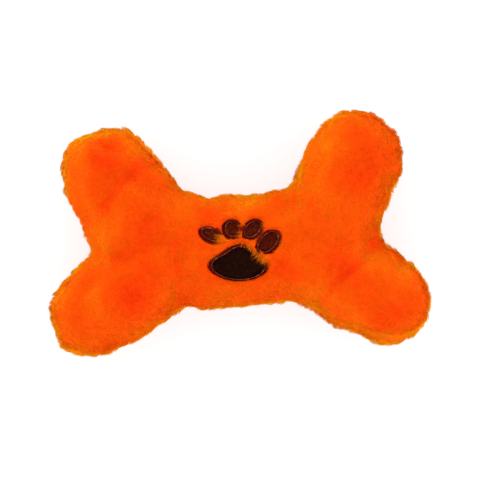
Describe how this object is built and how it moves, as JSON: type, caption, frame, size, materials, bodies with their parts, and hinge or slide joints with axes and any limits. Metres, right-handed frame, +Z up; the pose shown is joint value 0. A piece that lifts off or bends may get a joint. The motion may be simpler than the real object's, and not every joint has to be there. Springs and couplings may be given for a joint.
{
  "type": "plush bone dog toy",
  "caption": "Bone-shaped fur-fabric toy lying on its back: sewn panels over fibre filling, with a squeaker and its sprung reed inside and a sewn-on paw print.",
  "frame": {"origin": "under the middle of the bounding box, on the surface that the toy lies on", "axes": "+Z up out of the paw-print face, +X along the bone towards the side with toe 4, +Y towards the toes' side"},
  "size_m": [0.2296, 0.143, 0.0575],
  "materials": {
    "plush": "soft fur fabric with a fine 6.5 mm pile, bright orange",
    "filling": "loose white polyester fibre",
    "pad_velour": "short-pile velour, nearly black brown",
    "toe_velour": "short-pile velour, dark red-brown",
    "border_thread": "satin-stitched embroidery thread, dark maroon",
    "stabiliser": "thin white nonwoven sheet",
    "seam_thread": "orange polyester sewing thread",
    "bladder_plastic": "soft blow-moulded polyethylene, milky",
    "whistle_plastic": "moulded white plastic",
    "reed_film": "stiff clear film, frosted"
  },
  "bodies": {
    "toy": {"front_panel": "plush", "back_panel": "plush", "shaft_stuffing_front": "filling", "shaft_stuffing_back": "filling", "lower_right_stuffing": "filling", "lower_left_stuffing": "filling", "upper_right_stuffing": "filling", "upper_left_stuffing": "filling", "main_pad_patch": "pad_velour", "main_pad_border": "border_thread", "toe_1_patch": "toe_velour", "toe_1_border": "border_thread", "toe_2_patch": "toe_velour", "toe_2_border": "border_thread", "toe_3_patch": "toe_velour", "toe_3_border": "border_thread", "toe_4_patch": "toe_velour", "toe_4_border": "border_thread", "paw_stabiliser": "stabiliser", "squeaker_bladder": "bladder_plastic", "reed_holder": "whistle_plastic", "reed_clamp": "whistle_plastic"},
    "reed": {"squeaker_reed": "reed_film"}
  },
  "joints": [
    {"name": "reed_flutter", "type": "hinge", "parent": "toy", "child": "reed", "pos_m": [0.00052, -0.00962, 0.0325], "axis": [0, -1, 0], "range_deg": [-2, 6], "stiffness_Nm_per_rad": 0.003}
  ]
}
